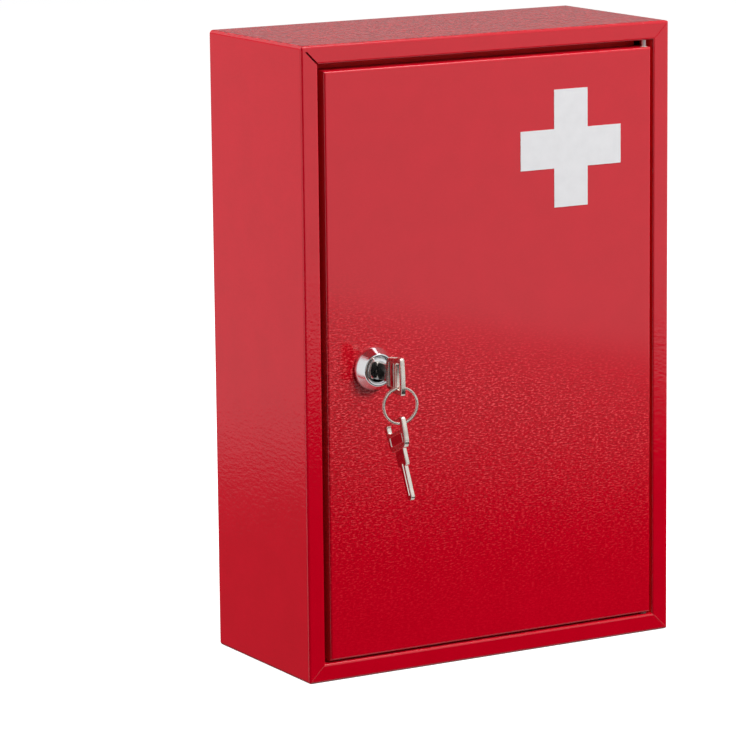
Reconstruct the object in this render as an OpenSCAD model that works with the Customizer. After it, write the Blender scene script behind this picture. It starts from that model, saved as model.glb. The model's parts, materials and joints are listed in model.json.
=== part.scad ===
// Lockable steel medicine cabinet: folded case, flush door on two pivot pins,
// cam lock with its key in place and a spare key hanging on a split ring.
// Millimetres. X right, Y back, Z up. The front face of the case is at -Y.

/* [Case] */
// Overall width of the case
case_width = 215; // [180:1:300]
// Overall depth of the case, front face to wall
case_depth = 95; // [80:1:160]
// Overall height of the case
case_height = 320; // [300:1:420]
// Thickness of the case sheet
case_sheet = 1.0; // [0.8:0.1:1.5]
// Outside radius of the bends along the front edges
case_bend = 1.5; // [1.3:0.1:2.5]
// Outside radius of the four bends of the wrap
wrap_radius = 2.0; // [1.8:0.1:4]
// Width of the front flange that frames the door
flange_width = 9.5; // [8:0.5:14]
// Outside radius of the bend between flange and return lip
lip_bend = 1.2; // [1.1:0.1:1.8]
// Width of the rebate behind the door's edge
rebate_width = 8; // [6:0.5:12]
// Gap between the closed door and the rebate
rebate_gap = 1.3; // [1:0.1:2]
// Width of the notch in the upper rebate, beside the hinge
notch_width = 4; // [3:0.5:14]
// Width of the open corner slit, top left
corner_slit = 0.9; // [0.4:0.1:1.2]
// Distance of the slit's outer end from the case edge
slit_inset = 3.0; // [2:0.5:5]
// Width and depth of the fine line where the other flange corners meet
seam_line = 0.2; // [0.1:0.05:0.4]

/* [Back and shelf] */
// Thickness of the back panel
back_sheet = 1.0; // [0.8:0.1:1.5]
// Diameter of the four wall screw holes
wall_hole = 5.5; // [4:0.5:8]
// Distance between the wall holes, side to side
wall_hole_x = 150; // [100:5:170]
// Distance between the wall holes, up and down
wall_hole_z = 250; // [180:5:270]
// Height of the shelf's upper face above the lock axis
shelf_rise = 18.8; // [12:0.1:60]
// Distance of the shelf's front edge behind the case front
shelf_setback = 21; // [20:1:35]
// Thickness of the shelf sheet
shelf_sheet = 1.0; // [0.8:0.1:1.5]
// Height of the shelf's folded front edge
shelf_edge = 11; // [6:1:12]
// Distance of a bracket's front end behind the shelf's front edge
bracket_setback = 10; // [2:1:25]
// Height and width of a shelf bracket's two legs
bracket_leg = 10; // [8:1:14]
// Distance of the two rubber bumpers from the door's ends
bumper_inset = 48; // [20:1:90]

/* [Door] */
// Thickness of the door sheet
door_sheet = 0.8; // [0.7:0.1:1.0]
// Outside radius of the bends around the door face
door_bend = 1.5; // [1.2:0.1:1.6]
// Depth of the folded door pan
door_depth = 11; // [9:0.5:12]
// Width of the door's inner return
door_return = 7; // [5:0.5:8]
// Gap between door and frame on the lock side
gap_lock = 3.0; // [1:0.1:4]
// Gap between door and frame on the hinge side
gap_hinge = 1.25; // [1.2:0.05:2]
// Gap above the door
gap_top = 3.5; // [2:0.1:5]
// Gap below the door
gap_bottom = 0.9; // [0.8:0.1:2]
// Width and height of the cross
cross_size = 60; // [40:1:80]
// Width of the cross's arms
cross_arm = 20; // [12:1:28]
// Distance of the cross's centre from the door's middle
cross_offset = 47.0; // [30:0.5:55]
// Distance of the cross's centre below the door's top edge
cross_drop = 48.0; // [40:0.1:90]
// Thickness of the cross film
cross_film = 0.15; // [0.1:0.05:0.3]

/* [Hinge] */
// Diameter of the pivot pins
pin_diameter = 2.5; // [2:0.1:3]
// Radial clearance of a pin in its bearing block
pin_clearance = 0.05; // [0.02:0.01:0.1]
// Distance of the hinge axis behind the door face
hinge_setback = 3.2; // [3:0.1:3.4]
// Distance of the hinge axis from the door's hinge edge
hinge_inset = 2.75; // [2.5:0.05:3]
// Diameter of a pin's head
pin_head = 4.0; // [3.8:0.1:4]
// Length of pin inside the door
pin_reach = 6.5; // [5:0.5:10]
// Width of a bearing block
block_width = 9; // [7:0.5:12]
// Height of a bearing block
block_height = 6; // [5:0.5:9]

/* [Lock] */
// Distance of the lock axis from the door's lock edge
lock_inset = 26; // [24:0.5:30]
// Distance of the lock axis below the door's middle
lock_drop = 1.5; // [-20:0.1:20]
// Diameter of the collar where it sits on the door
collar_base = 22; // [20:0.5:26]
// Diameter of the collar's front rim
collar_rim = 16.4; // [15.5:0.1:18]
// How far the collar stands out from the door
collar_height = 6.5; // [5:0.1:8]
// Diameter of the threaded barrel
barrel_diameter = 16; // [15:0.5:16]
// Distance between the barrel's two flats
barrel_flats = 14.2; // [13.6:0.1:15]
// Clearance between barrel and door hole, per side
barrel_clearance = 0.15; // [0.05:0.05:0.3]
// Diameter of the plug's head
plug_head = 12.4; // [11.5:0.1:13]
// Diameter of the plug's body
plug_body = 10.4; // [9:0.1:11]
// Radial clearance of the plug in the barrel
plug_clearance = 0.05; // [0.02:0.01:0.1]
// Width across the flats of the lock nut
nut_flats = 20; // [19:0.5:22]
// Thickness of the lock nut
nut_height = 3.5; // [2.5:0.5:5]
// Length of the cam from the lock axis to its tip
cam_length = 31; // [28:0.5:33]
// Width of the cam arm
cam_width = 11; // [9:0.5:14]
// Thickness of the cam
cam_sheet = 2; // [1.5:0.1:2.5]
// Turn of the plug between locked and open
lock_travel = 90; // [80:5:90]

/* [Keys] */
// Width of the key bow
bow_width = 19; // [17:0.5:21]
// Length of the key bow
bow_length = 15.5; // [14.5:0.5:18]
// Thickness of the key bow
bow_thickness = 2.4; // [2:0.1:2.6]
// Length of the slot for the ring
slot_length = 13.2; // [11:0.1:14]
// Width of the slot for the ring
slot_width = 4.2; // [4:0.1:4.6]
// Distance of the slot's middle from the end of the bow
slot_inset = 4.0; // [3.8:0.1:4.5]
// Width of the key neck
neck_width = 8.5; // [7:0.5:9]
// Length of the key neck
neck_length = 8.6; // [6:0.1:9]
// Width of the key blade
blade_width = 4.5; // [4:0.1:5]
// Thickness of neck and blade
blade_thickness = 2.0; // [1.8:0.1:2.2]
// Length of the key blade
blade_length = 17; // [15:0.5:17.5]
// Outside diameter of the split ring
ring_diameter = 19; // [18:0.5:22]
// Radial thickness of the ring's flat wire
ring_wall = 1.1; // [0.9:0.1:1.2]
// Width of the ring, both turns together
ring_width = 2.0; // [1.8:0.1:2.1]
// Turn of the ring out of the door's plane
ring_yaw = 7; // [0:1:7]

/* [Hidden] */
$fn = 64;
eps = 0.01;
// Reach of the cutting bodies beyond what they cut.
over = 1;

// Case.
half_w = case_width / 2;
front = -case_depth / 2;
back = case_depth / 2;
wall_x = half_w - case_sheet;
inner_x = half_w - flange_width;
inner_bottom = flange_width;
inner_top = case_height - flange_width;

// Door.
door_left = -inner_x + gap_lock;
door_right = inner_x - gap_hinge;
door_bottom = inner_bottom + gap_bottom;
door_top = inner_top - gap_top;
door_rear = front + door_depth;
door_skin = front + door_sheet;
door_rear_bend = 1.2;
door_middle_x = (door_left + door_right) / 2;
door_middle_z = (door_bottom + door_top) / 2;
lock_x = door_left + lock_inset;
lock_z = door_middle_z - lock_drop;
cross_x = door_middle_x + cross_offset;
cross_z = door_top - cross_drop;

// Back panel, a flat sheet welded into the rear of the wrap.
fit_gap = 0.1;
back_x = wall_x - fit_gap;
back_bottom = case_sheet + fit_gap;
back_top = case_height - case_sheet - fit_gap;
wall_hole_mid = case_height / 2;

// Shelf and its brackets.
shelf_gap = 0.4;
shelf_back_gap = 0.3;
shelf_x = wall_x - shelf_gap;
shelf_top = lock_z + shelf_rise;
shelf_front = front + shelf_setback;
shelf_rear = back - back_sheet - shelf_back_gap;
shelf_bend = 1.5;
bracket_back_gap = 2;
bracket_rear = shelf_rear - bracket_back_gap;
bracket_depth = bracket_rear - shelf_front - bracket_setback;

// Rebate of the frame, with two bumpers in front and the strike behind it.
lip_depth = door_depth + rebate_gap + case_sheet;
rebate_front = front + lip_depth - case_sheet;
rebate_rear = front + lip_depth;
rebate_bend = 1.5;
bumper_gap = 0.1;
bumper_radius = 2.4;
bumper_taper = 0.5;
bumper_margin = 0.4;
bumper_x = -inner_x + rebate_width - bumper_radius - bumper_margin;
bumper_low = door_bottom + bumper_inset;
bumper_high = door_top - bumper_inset;
strike_sheet = 1.2;
strike_height = 30;
strike_margin = 0.4;
strike_edge = -inner_x + rebate_width - strike_margin;
strike_overlap = 1;
strike_outer = -inner_x - strike_overlap;
weld_radius = 1.6;
weld_depth = 0.25;
weld_inset = 4;

// Hinge.
hinge_x = door_right - hinge_inset;
hinge_y = front + hinge_setback;
pin_r = pin_diameter / 2;
bore_r = pin_r + pin_clearance;
hole_gap = 0.05;
head_height = 1.4;
lip_top = inner_top;
lip_bottom = inner_bottom;
washer_play = 0.05;
washer_height = gap_bottom - washer_play;
washer_r = 2.0;
spigot_r = 1.95;
spigot_step = 0.3;
block_gap = 0.02;
block_reach = 3.6;
block_front = front + door_bend + block_gap;
block_rear = hinge_y + block_reach;

// Lock: distances along Y, measured from the door face.
rim_y = front - collar_height;
plug_recess = 0.3;
plug_y = rim_y + plug_recess;
plug_end_play = 0.05;
head_seat = 4.5;
shoulder_y = rim_y + head_seat;
groove_depth = 1.4;
groove_width = 0.65;
groove_r = plug_head / 2 + groove_width;
keyway_play = 0.6;
cam_gap = 0.3;
washer_gap = 0.1;
stop_sheet = 1.0;
cam_y = rebate_rear + strike_sheet + cam_gap;
stop_y = cam_y - stop_sheet - 2 * washer_gap;
barrel_end = stop_y - washer_gap;
lug_height = 1.1;
lug_angle = 40;
lug_inner = 6.2;
lug_gap = 0.2;
tail_width = 7;
tail_gap = 0.05;
cam_end = cam_y + cam_sheet;
cam_hub = 2;
cam_tip_r = 3;
cam_washer_sheet = 0.8;
cam_washer_r = 5;
screw_r = 2;
screw_head_r = 3.8;
screw_head_height = 2.6;
screw_head_taper = 0.7;
screw_depth = 4;
screw_end_play = 0.4;
screw_slot = [4.2, 2.6, 0.9];
lock_washer_sheet = 0.8;
lock_washer_r = 11;
nut_y = door_skin + lock_washer_sheet;
hex = 6;
stop_play = 1;

// Keys.
key_play = 0.15;
shoulder_gap = 0.2;
blade_start = plug_y - shoulder_gap;
bow_start = blade_start - neck_length;
bow_end = bow_start - bow_length;
key_total = blade_length + neck_length + bow_length;
slot_r = slot_width / 2;
slot_corner = 0.8;
bow_corner = 4;
bow_taper = 1.3;
bow_square = 2;
ring_r = ring_diameter / 2;
ring_mid = ring_r - ring_wall / 2;
ring_bore = ring_r - ring_wall;
ring_play = 0.08;
turn_gap = 0.05;
turn_core = 0.2;
wire_end_gap = 0.5;
wire_end_depth = 1.1;
wire_end_front = 35;
wire_end_rear = 62;
// The ring hangs on the strip below the key's slot and clears its corners as the key turns.
slot_y = bow_end + slot_inset;
strip_width = (bow_width - slot_length) / 2;
strip_z = lock_z - slot_length / 2 - strip_width / 2;
ring_drop = ring_bore - ring_play - norm([bow_thickness / 2, strip_width / 2]);
ring_z = strip_z - ring_drop;
ring_foot = ring_z - ring_mid;
// The spare hangs by the front end of its slot and leans until it balances.
wire_play = 0.14;
wire_reach = norm([ring_width / 2, ring_wall / 2]) + wire_play;
spare_pivot_s = slot_inset - slot_r + wire_reach;
spare_pivot_w = slot_length / 2 - wire_reach - ring_play;
spare_balance = 14.94;
spare_lean = atan2(spare_pivot_w, spare_balance - spare_pivot_s);

red = [0.70, 0.11, 0.15];
white = [0.90, 0.90, 0.92];
zinc = [0.72, 0.73, 0.75];
nickel = [0.78, 0.77, 0.74];
black = [0.10, 0.10, 0.10];
nylon = [0.88, 0.87, 0.82];

// ---- helpers ----

// Prism along Y from a polygon drawn in X and Z.
module xz_prism(points, y0, y1) {
    translate([0, y1, 0])
        rotate([90, 0, 0])
            linear_extrude(y1 - y0)
                polygon(points);
}

// Cylinder along Y.
module y_cylinder(x, z, y0, y1, r) {
    translate([x, y1, z])
        rotate([90, 0, 0])
            cylinder(h = y1 - y0, r = r);
}

// Cone frustum along Y.
module y_cone(x, z, y0, y1, r0, r1) {
    translate([x, y1, z])
        rotate([90, 0, 0])
            cylinder(h = y1 - y0, r1 = r1, r2 = r0);
}

// Box between two corners.
module block(low, high) {
    translate(low)
        cube(high - low);
}

// Rectangle with round corners, made from plain shapes.
module round_rect(x0, y0, x1, y1, r) {
    translate([x0 + r, y0])
        square([x1 - x0 - 2 * r, y1 - y0]);
    translate([x0, y0 + r])
        square([x1 - x0, y1 - y0 - 2 * r]);
    for (x = [x0 + r, x1 - r])
        for (y = [y0 + r, y1 - r])
            translate([x, y])
                circle(r = r);
}

// Quarter of a bent sheet between two straight runs, outside corner at 0, 0.
module quarter_bend(r, t) {
    intersection() {
        square([r, r]);
        difference() {
            translate([r, r])
                circle(r = r);
            translate([r, r])
                circle(r = r - t);
        }
    }
}

// Four mitred lengths of one edge profile around a rectangle.
// In the profile x runs inward from the edge and y runs back from the front.
module mitred_frame(x0, x1, z0, z1, y, reach) {
    w = x1 - x0;
    h = z1 - z0;
    xm = (x0 + x1) / 2;
    zm = (z0 + z1) / 2;
    y0 = y - over;
    y1 = y + reach + over;
    intersection() {
        translate([x0, y, z0])
            linear_extrude(h)
                children();
        xz_prism([[x0, z0], [xm, z0 + w / 2], [xm, z1 - w / 2], [x0, z1]], y0, y1);
    }
    intersection() {
        translate([x1, y, z0])
            mirror([1, 0, 0])
                linear_extrude(h)
                    children();
        xz_prism([[x1, z0], [xm, z0 + w / 2], [xm, z1 - w / 2], [x1, z1]], y0, y1);
    }
    intersection() {
        translate([xm, y, z0])
            rotate([0, -90, 0])
                linear_extrude(w, center = true)
                    children();
        xz_prism([[x0, z0], [x1, z0], [xm, z0 + w / 2]], y0, y1);
    }
    intersection() {
        translate([xm, y, z1])
            rotate([0, 90, 0])
                linear_extrude(w, center = true)
                    children();
        xz_prism([[x0, z1], [x1, z1], [xm, z1 - w / 2]], y0, y1);
    }
}

// ---- case ----

// Edge profile of the case front: bend, flange, return lip and rebate.
module frame_profile() {
    edge = flange_width + rebate_width;
    quarter_bend(case_bend, case_sheet);
    translate([case_bend, 0])
        square([flange_width - case_bend - lip_bend, case_sheet]);
    translate([flange_width, 0])
        mirror([1, 0])
            quarter_bend(lip_bend, case_sheet);
    translate([flange_width - case_sheet, lip_bend])
        square([case_sheet, lip_depth - lip_bend - rebate_bend]);
    translate([flange_width - case_sheet, lip_depth])
        mirror([0, 1])
            quarter_bend(rebate_bend, case_sheet);
    translate([flange_width - case_sheet + rebate_bend, lip_depth - case_sheet])
        square([edge - flange_width + case_sheet - rebate_bend, case_sheet]);
    translate([0, case_bend])
        square([case_sheet, over]);
}

// Outline of the wrap seen from the front, offset inward.
module wrap_outline(inset) {
    r = wrap_radius - inset;
    round_rect(-half_w + inset, inset, half_w - inset, case_height - inset, r);
}

// Cut along a flange corner's diagonal, seen from the front.
// It starts at the corner x, z and runs toward sx, sz.
module corner_cut(x, z, sx, sz, from, width, depth) {
    s = width / 2 * sqrt(2);
    a = from;
    b = flange_width + over;
    points = [
        [x + sx * (a - s), z + sz * a], [x + sx * (b - s), z + sz * b],
        [x + sx * (b + s), z + sz * b], [x + sx * (a + s), z + sz * a]
    ];
    xz_prism(points, front - over, front + depth);
}

module pin_hole(z, r) {
    translate([hinge_x, hinge_y, z])
        cylinder(h = 2 * case_sheet + 2 * over, r = r, center = true);
}

module case_wrap() {
    color(red)
        difference() {
            union() {
                difference() {
                    translate([0, back, 0])
                        rotate([90, 0, 0])
                            linear_extrude(case_depth - case_bend)
                                wrap_outline(0);
                    translate([0, back + over, 0])
                        rotate([90, 0, 0])
                            linear_extrude(case_depth + 2 * over)
                                wrap_outline(case_sheet);
                }
                intersection() {
                    mitred_frame(-half_w, half_w, 0, case_height, front, lip_depth)
                        frame_profile();
                    translate([0, front + lip_depth + over, 0])
                        rotate([90, 0, 0])
                            linear_extrude(lip_depth + 2 * over)
                                wrap_outline(0);
                }
            }
            corner_cut(-half_w, case_height, 1, -1, slit_inset, corner_slit,
                       lip_depth - rebate_bend);
            corner_cut(-half_w, 0, 1, 1, wrap_radius, seam_line, seam_line);
            corner_cut(half_w, 0, -1, 1, wrap_radius, seam_line, seam_line);
            corner_cut(half_w, case_height, -1, -1, wrap_radius, seam_line, seam_line);
            pin_hole(lip_top + case_sheet / 2, pin_r + hole_gap);
            pin_hole(lip_bottom - case_sheet / 2, pin_r + hole_gap);
            block([inner_x - notch_width, rebate_front - rebate_bend, inner_top - rebate_width],
                  [inner_x, rebate_rear + over, inner_top]);
        }
}

module back_panel() {
    color(red)
        difference() {
            intersection() {
                block([-back_x, back - back_sheet, back_bottom], [back_x, back, back_top]);
                translate([0, back + over, 0])
                    rotate([90, 0, 0])
                        linear_extrude(back_sheet + 2 * over)
                            wrap_outline(case_sheet + fit_gap);
            }
            for (x = [-1, 1])
                for (z = [-1, 1])
                    y_cylinder(x * wall_hole_x / 2, wall_hole_mid + z * wall_hole_z / 2,
                               back - back_sheet - over, back + over, wall_hole / 2);
        }
}

// Shelf profile: x runs back from the front edge, y runs down from the top.
module shelf_profile() {
    quarter_bend(shelf_bend, shelf_sheet);
    translate([shelf_bend, 0])
        square([shelf_rear - shelf_front - shelf_bend, shelf_sheet]);
    translate([0, shelf_bend])
        square([shelf_sheet, shelf_edge - shelf_bend]);
}

module shelf() {
    color(red)
        translate([0, shelf_front, shelf_top])
            rotate([0, 0, 90])
                rotate([90, 0, 0])
                    mirror([0, 1, 0])
                        linear_extrude(2 * shelf_x, center = true)
                            shelf_profile();
}

// L bracket on one side wall, its horizontal leg under the shelf.
module shelf_bracket(side) {
    top = shelf_top - shelf_sheet;
    color(red)
        translate([side * wall_x, bracket_rear, top])
            mirror([side > 0 ? 1 : 0, 0, 0])
                rotate([90, 0, 0])
                    linear_extrude(bracket_depth)
                        mirror([0, 1]) {
                            quarter_bend(shelf_bend, shelf_sheet);
                            translate([shelf_bend, 0])
                                square([bracket_leg - shelf_bend, shelf_sheet]);
                            translate([0, shelf_bend])
                                square([shelf_sheet, bracket_leg - shelf_bend]);
                        }
}

module shelf_bracket_left() {
    shelf_bracket(-1);
}

module shelf_bracket_right() {
    shelf_bracket(1);
}

module bumper(z) {
    color(black)
        y_cone(bumper_x, z, door_rear + bumper_gap, rebate_front,
               bumper_radius - bumper_taper, bumper_radius);
}

module bumper_upper() {
    bumper(bumper_high);
}

module bumper_lower() {
    bumper(bumper_low);
}

// Plate welded behind the rebate, where the cam turns.
module strike_plate() {
    middle = (strike_outer + strike_edge) / 2;
    color(zinc)
        difference() {
            block([strike_outer, rebate_rear, lock_z - strike_height / 2],
                  [strike_edge, rebate_rear + strike_sheet, lock_z + strike_height / 2]);
            for (s = [-1, 1])
                y_cylinder(middle, lock_z + s * (strike_height / 2 - weld_inset),
                           rebate_rear + strike_sheet - weld_depth,
                           rebate_rear + strike_sheet + over, weld_radius);
        }
}

// ---- hinge ----

module hinge_pin_top() {
    tip = door_top - pin_reach;
    color(zinc)
        translate([hinge_x, hinge_y, 0]) {
            translate([0, 0, tip])
                cylinder(h = lip_top + case_sheet - tip + eps, r = pin_r);
            translate([0, 0, lip_top + case_sheet])
                cylinder(h = head_height, r = pin_head / 2);
        }
}

module hinge_pin_bottom() {
    tip = door_bottom + pin_reach;
    color(zinc)
        translate([hinge_x, hinge_y, 0]) {
            translate([0, 0, lip_bottom - case_sheet - eps])
                cylinder(h = tip - lip_bottom + case_sheet + eps, r = pin_r);
            translate([0, 0, lip_bottom - case_sheet - head_height])
                cylinder(h = head_height, r = pin_head / 2);
        }
}

module hinge_washer() {
    color(zinc)
        translate([hinge_x, hinge_y, lip_bottom])
            difference() {
                cylinder(h = washer_height, r = washer_r);
                translate([0, 0, -over])
                    cylinder(h = washer_height + 2 * over, r = bore_r);
            }
}

// Bearing block inside the door with a spigot through the door's edge.
module bearing_block() {
    difference() {
        union() {
            block([hinge_x + spigot_r + spigot_step - block_width, block_front, -block_height],
                  [hinge_x + spigot_r - spigot_step, block_rear, 0]);
            translate([hinge_x, hinge_y, -eps])
                cylinder(h = door_sheet + eps, r = spigot_r);
        }
        translate([hinge_x, hinge_y, -block_height - over])
            cylinder(h = block_height + door_sheet + 2 * over, r = bore_r);
    }
}

module hinge_block_top() {
    color(nylon)
        translate([0, 0, door_top - door_sheet])
            bearing_block();
}

module hinge_block_bottom() {
    color(nylon)
        translate([0, 0, door_bottom + door_sheet])
            mirror([0, 0, 1])
                bearing_block();
}

// ---- door ----

// Edge profile of the door pan: bend, edge, second bend and inner return.
module door_profile() {
    quarter_bend(door_bend, door_sheet);
    translate([0, door_bend])
        square([door_sheet, door_depth - door_bend - door_rear_bend]);
    translate([0, door_depth])
        mirror([0, 1])
            quarter_bend(door_rear_bend, door_sheet);
    translate([door_rear_bend, door_depth - door_sheet])
        square([door_return - door_rear_bend, door_sheet]);
}

// Round bar with two flats, along Y on the lock axis.
module double_d(y0, y1, r, flats) {
    intersection() {
        y_cylinder(lock_x, lock_z, y0, y1, r);
        block([lock_x - flats / 2, y0 - over, lock_z - r - over],
              [lock_x + flats / 2, y1 + over, lock_z + r + over]);
    }
}

module door_panel() {
    color(red)
        difference() {
            union() {
                mitred_frame(door_left, door_right, door_bottom, door_top, front, door_depth)
                    door_profile();
                block([door_left + door_bend, front, door_bottom + door_bend],
                      [door_right - door_bend, door_skin, door_top - door_bend]);
            }
            double_d(front - over, door_skin + over, barrel_diameter / 2 + barrel_clearance,
                     barrel_flats + 2 * barrel_clearance);
            pin_hole(door_top - door_sheet / 2, spigot_r + hole_gap);
            pin_hole(door_bottom + door_sheet / 2, spigot_r + hole_gap);
        }
}

module cross_decal() {
    color(white)
        translate([cross_x, 0, cross_z]) {
            block([-cross_size / 2, front - cross_film, -cross_arm / 2],
                  [cross_size / 2, front, cross_arm / 2]);
            block([-cross_arm / 2, front - cross_film, -cross_size / 2],
                  [cross_arm / 2, front, cross_size / 2]);
        }
}

// ---- lock ----

// Wedge of a ring along Y on the lock axis, measured from straight down.
module ring_sector(y0, y1, r0, r1, middle, angle) {
    a = angle / 2;
    far = 2 * r1;
    translate([lock_x, 0, lock_z])
        rotate([0, middle, 0])
            intersection() {
                difference() {
                    y_cylinder(0, 0, y0, y1, r1);
                    y_cylinder(0, 0, y0 - over, y1 + over, r0);
                }
                xz_prism([[0, 0], [-far * sin(a), -far * cos(a)], [0, -far * 1.5],
                          [far * sin(a), -far * cos(a)]], y0 - over, y1 + over);
            }
}

module lock_barrel() {
    color(zinc)
        difference() {
            union() {
                y_cone(lock_x, lock_z, rim_y, front, collar_rim / 2, collar_base / 2);
                double_d(front - eps, barrel_end, barrel_diameter / 2, barrel_flats);
                ring_sector(barrel_end - eps, barrel_end + lug_height, lug_inner,
                            barrel_flats / 2, 0, lug_angle);
            }
            y_cylinder(lock_x, lock_z, rim_y - over, rim_y + groove_depth, groove_r);
            y_cylinder(lock_x, lock_z, rim_y - over, shoulder_y, plug_head / 2 + plug_clearance);
            y_cylinder(lock_x, lock_z, rim_y, barrel_end + over, plug_body / 2 + plug_clearance);
        }
}

module lock_washer() {
    color(zinc)
        difference() {
            y_cylinder(lock_x, lock_z, door_skin, nut_y, lock_washer_r);
            double_d(door_skin - over, nut_y + over, barrel_diameter / 2 + barrel_clearance,
                     barrel_flats + 2 * barrel_clearance);
        }
}

module lock_nut() {
    color(zinc)
        difference() {
            translate([lock_x, nut_y + nut_height, lock_z])
                rotate([90, 0, 0])
                    cylinder(h = nut_height, r = nut_flats / sqrt(3), $fn = hex);
            y_cylinder(lock_x, lock_z, nut_y - over, nut_y + nut_height + over,
                       barrel_diameter / 2 + hole_gap);
        }
}

module lock_plug() {
    color(nickel)
        difference() {
            union() {
                y_cylinder(lock_x, lock_z, plug_y, shoulder_y - plug_end_play, plug_head / 2);
                y_cylinder(lock_x, lock_z, plug_y + over, barrel_end + plug_end_play, plug_body / 2);
                block([lock_x - tail_width / 2, barrel_end, lock_z - tail_width / 2],
                      [lock_x + tail_width / 2, cam_end, lock_z + tail_width / 2]);
            }
            block([lock_x - blade_thickness / 2 - key_play, plug_y - over,
                   lock_z - blade_width / 2 - key_play],
                  [lock_x + blade_thickness / 2 + key_play,
                   blade_start + blade_length + keyway_play,
                   lock_z + blade_width / 2 + key_play]);
            y_cylinder(lock_x, lock_z, cam_end - screw_depth, cam_end + over,
                       screw_r + hole_gap);
        }
}

// Square hole for the plug's tail.
module tail_hole(y0, y1) {
    w = tail_width / 2 + tail_gap;
    block([lock_x - w, y0 - over, lock_z - w], [lock_x + w, y1 + over, lock_z + w]);
}

// At rest the cam points down and the door is free. Turned, it points at the strike.
// The wide notch of this washer meets the barrel's lug at both ends of the turn.
module stop_washer() {
    y1 = stop_y + stop_sheet;
    notch = lug_angle + lock_travel + 2 * stop_play;
    color(zinc)
        difference() {
            y_cylinder(lock_x, lock_z, stop_y, y1, barrel_diameter / 2);
            ring_sector(stop_y - over, y1 + over, lug_inner - lug_gap, barrel_diameter / 2 + over,
                        -lock_travel / 2, notch);
            tail_hole(stop_y, y1);
        }
}

module cam_lever() {
    color(zinc)
        difference() {
            union() {
                y_cylinder(lock_x, lock_z, cam_y, cam_end, cam_width / 2 + cam_hub);
                translate([lock_x, cam_end, lock_z])
                    rotate([90, 0, 0])
                        linear_extrude(cam_sheet)
                            round_rect(-cam_width / 2, -cam_length, cam_width / 2, cam_tip_r,
                                       cam_tip_r);
            }
            tail_hole(cam_y, cam_end);
        }
}

module cam_washer() {
    color(zinc)
        difference() {
            y_cylinder(lock_x, lock_z, cam_end, cam_end + cam_washer_sheet, cam_washer_r);
            y_cylinder(lock_x, lock_z, cam_end - over, cam_end + over, screw_r + hole_gap);
        }
}

module cam_screw() {
    y = cam_end + cam_washer_sheet;
    color(zinc)
        difference() {
            union() {
                y_cone(lock_x, lock_z, y, y + screw_head_height, screw_head_r,
                       screw_head_r - screw_head_taper);
                y_cylinder(lock_x, lock_z, cam_end - screw_depth + screw_end_play, y + eps, screw_r);
            }
            for (a = [0, 90])
                translate([lock_x, y + screw_head_height, lock_z])
                    rotate([0, a, 0])
                        cube(screw_slot, center = true);
        }
}

// ---- keys ----

// Key drawn flat: x runs from the end of the bow to the tip, y across.
module key_outline() {
    shoulder = 1.5;
    blade_r = 1.9;
    half = bow_width / 2;
    neck_side = half - bow_taper;
    intersection() {
        round_rect(0, -half, bow_length, half, bow_corner);
        polygon([[-over, -bow_width], [bow_square, -half], [bow_length, -neck_side],
                 [bow_length, neck_side], [bow_square, half], [-over, bow_width]]);
    }
    translate([bow_length - over, -neck_width / 2])
        square([neck_length - shoulder + over, neck_width]);
    translate([bow_length, 0])
        intersection() {
            round_rect(0, -neck_width / 2, neck_length, neck_width / 2, shoulder);
            square([2 * neck_length, neck_width], center = true);
        }
    round_rect(bow_length, -blade_width / 2, key_total, blade_width / 2, blade_r);
}

// One key lying in X and Y, mid thickness at zero height.
module key_body() {
    rib_count = 5;
    rib_start = 4.5;
    rib_pitch = 1.25;
    rib_size = 0.7;
    rib_outset = 0.15;
    groove_start = 1.5;
    groove_shift = 0.5;
    groove_w = 1.1;
    groove_deep = 0.5;
    recess_x = 7.1;
    recess_w = 4.8;
    recess_l = 11.4;
    recess_depth = 0.35;
    difference() {
        union() {
            intersection() {
                linear_extrude(bow_thickness, center = true)
                    key_outline();
                block([-over, -bow_width, -bow_thickness],
                      [bow_length, bow_width, bow_thickness]);
            }
            intersection() {
                linear_extrude(blade_thickness, center = true)
                    key_outline();
                block([bow_length - over, -bow_width, -bow_thickness],
                      [key_total + over, bow_width, bow_thickness]);
            }
        }
        linear_extrude(2 * bow_thickness, center = true)
            round_rect(slot_inset - slot_r, -slot_length / 2, slot_inset + slot_r,
                       slot_length / 2, slot_corner);
        for (s = [-1, 1])
            translate([recess_x, -recess_l / 2, s > 0 ? bow_thickness / 2 - recess_depth
                                                      : -bow_thickness / 2 - over])
                cube([recess_w, recess_l, recess_depth + over]);
        for (s = [-1, 1])
            for (i = [0:rib_count - 1])
                translate([rib_start + i * rib_pitch, s * (bow_width / 2 + rib_outset), 0])
                    rotate([0, 0, 45])
                        cube([rib_size, rib_size, 2 * bow_thickness], center = true);
        for (s = [-1, 1])
            translate([bow_length + neck_length - groove_start, s * groove_shift - groove_w / 2,
                       s > 0 ? blade_thickness / 2 - groove_deep
                             : -blade_thickness / 2 - over])
                cube([blade_length - over, groove_w, groove_deep + over]);
    }
}

module key() {
    color(nickel)
        translate([lock_x, bow_end, lock_z])
            rotate([0, 90, 0])
                rotate([0, 0, 90])
                    key_body();
}

// Cut that shows where one end of the ring's wire stops.
module wire_end(angle, height) {
    rotate([0, 0, angle])
        translate([ring_mid, 0, height])
            cube([2 * ring_wall, wire_end_gap, wire_end_depth], center = true);
}

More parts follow.
